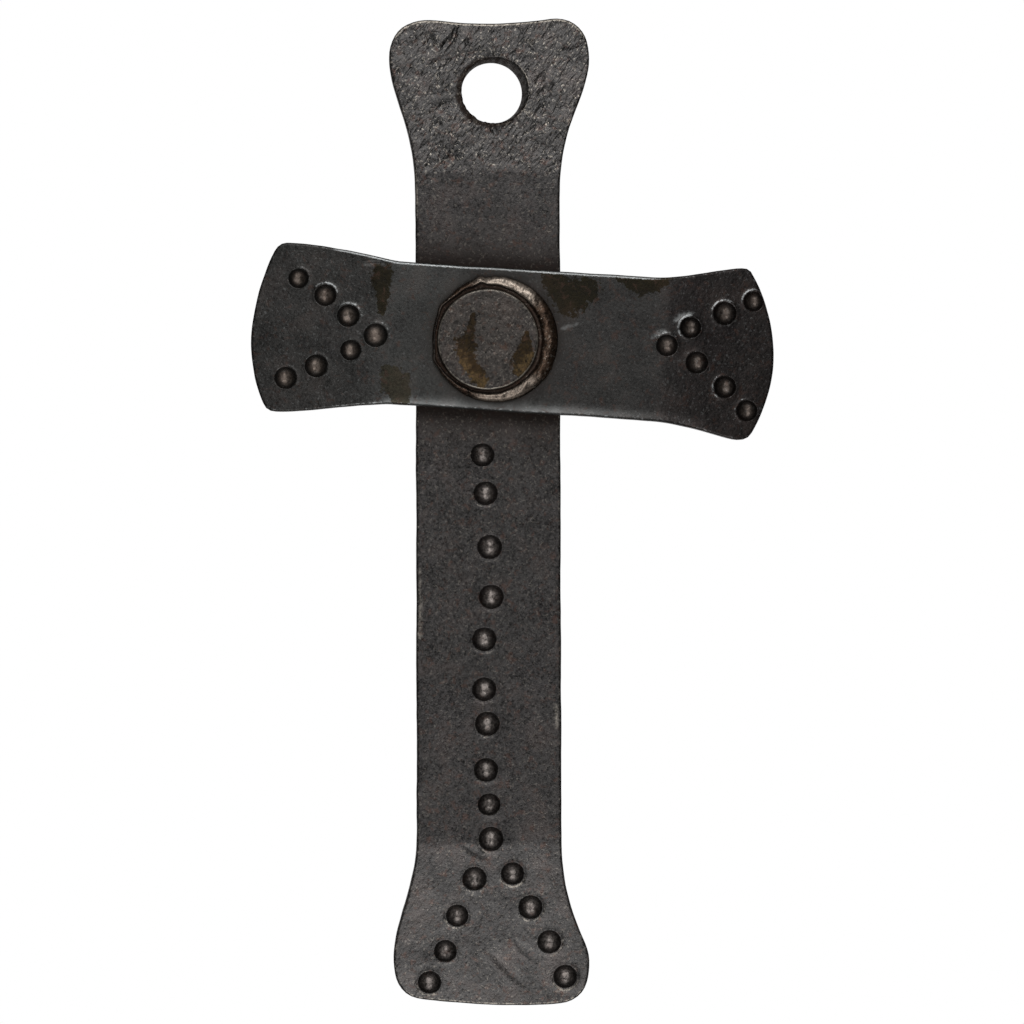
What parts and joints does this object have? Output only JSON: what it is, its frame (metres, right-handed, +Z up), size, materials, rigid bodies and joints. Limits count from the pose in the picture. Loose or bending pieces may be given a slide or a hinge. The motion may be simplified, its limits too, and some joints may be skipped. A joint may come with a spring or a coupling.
{
  "type": "wrought iron wall cross",
  "caption": "Small hand-forged wall cross of flat iron bars with hammered-out ends, a hanging hole, punched-dot rows and a broad rivet at the crossing.",
  "frame": {"origin": "centre of the hanging hole, on the plane of the back face, which lies against the wall", "axes": "+Z up the upright, +X to the right seen from the front, +Y into the wall; the front faces -Y"},
  "size_m": [0.0916, 0.0118, 0.1738],
  "materials": {
    "upright_iron": "forged iron, dark grey-brown oxide skin, worn lighter and rougher at the ends",
    "crossbar_iron": "forged iron, smooth slate-grey oxide skin with olive-brown stains and bright worn edges",
    "rivet_iron": "forged iron, brown-grey, worn bright on the bead, golden-brown stains on the disc"
  },
  "bodies": {
    "root": {"upright_bar": "upright_iron", "crossbar": "crossbar_iron", "rivet": "rivet_iron"}
  },
  "joints": []
}
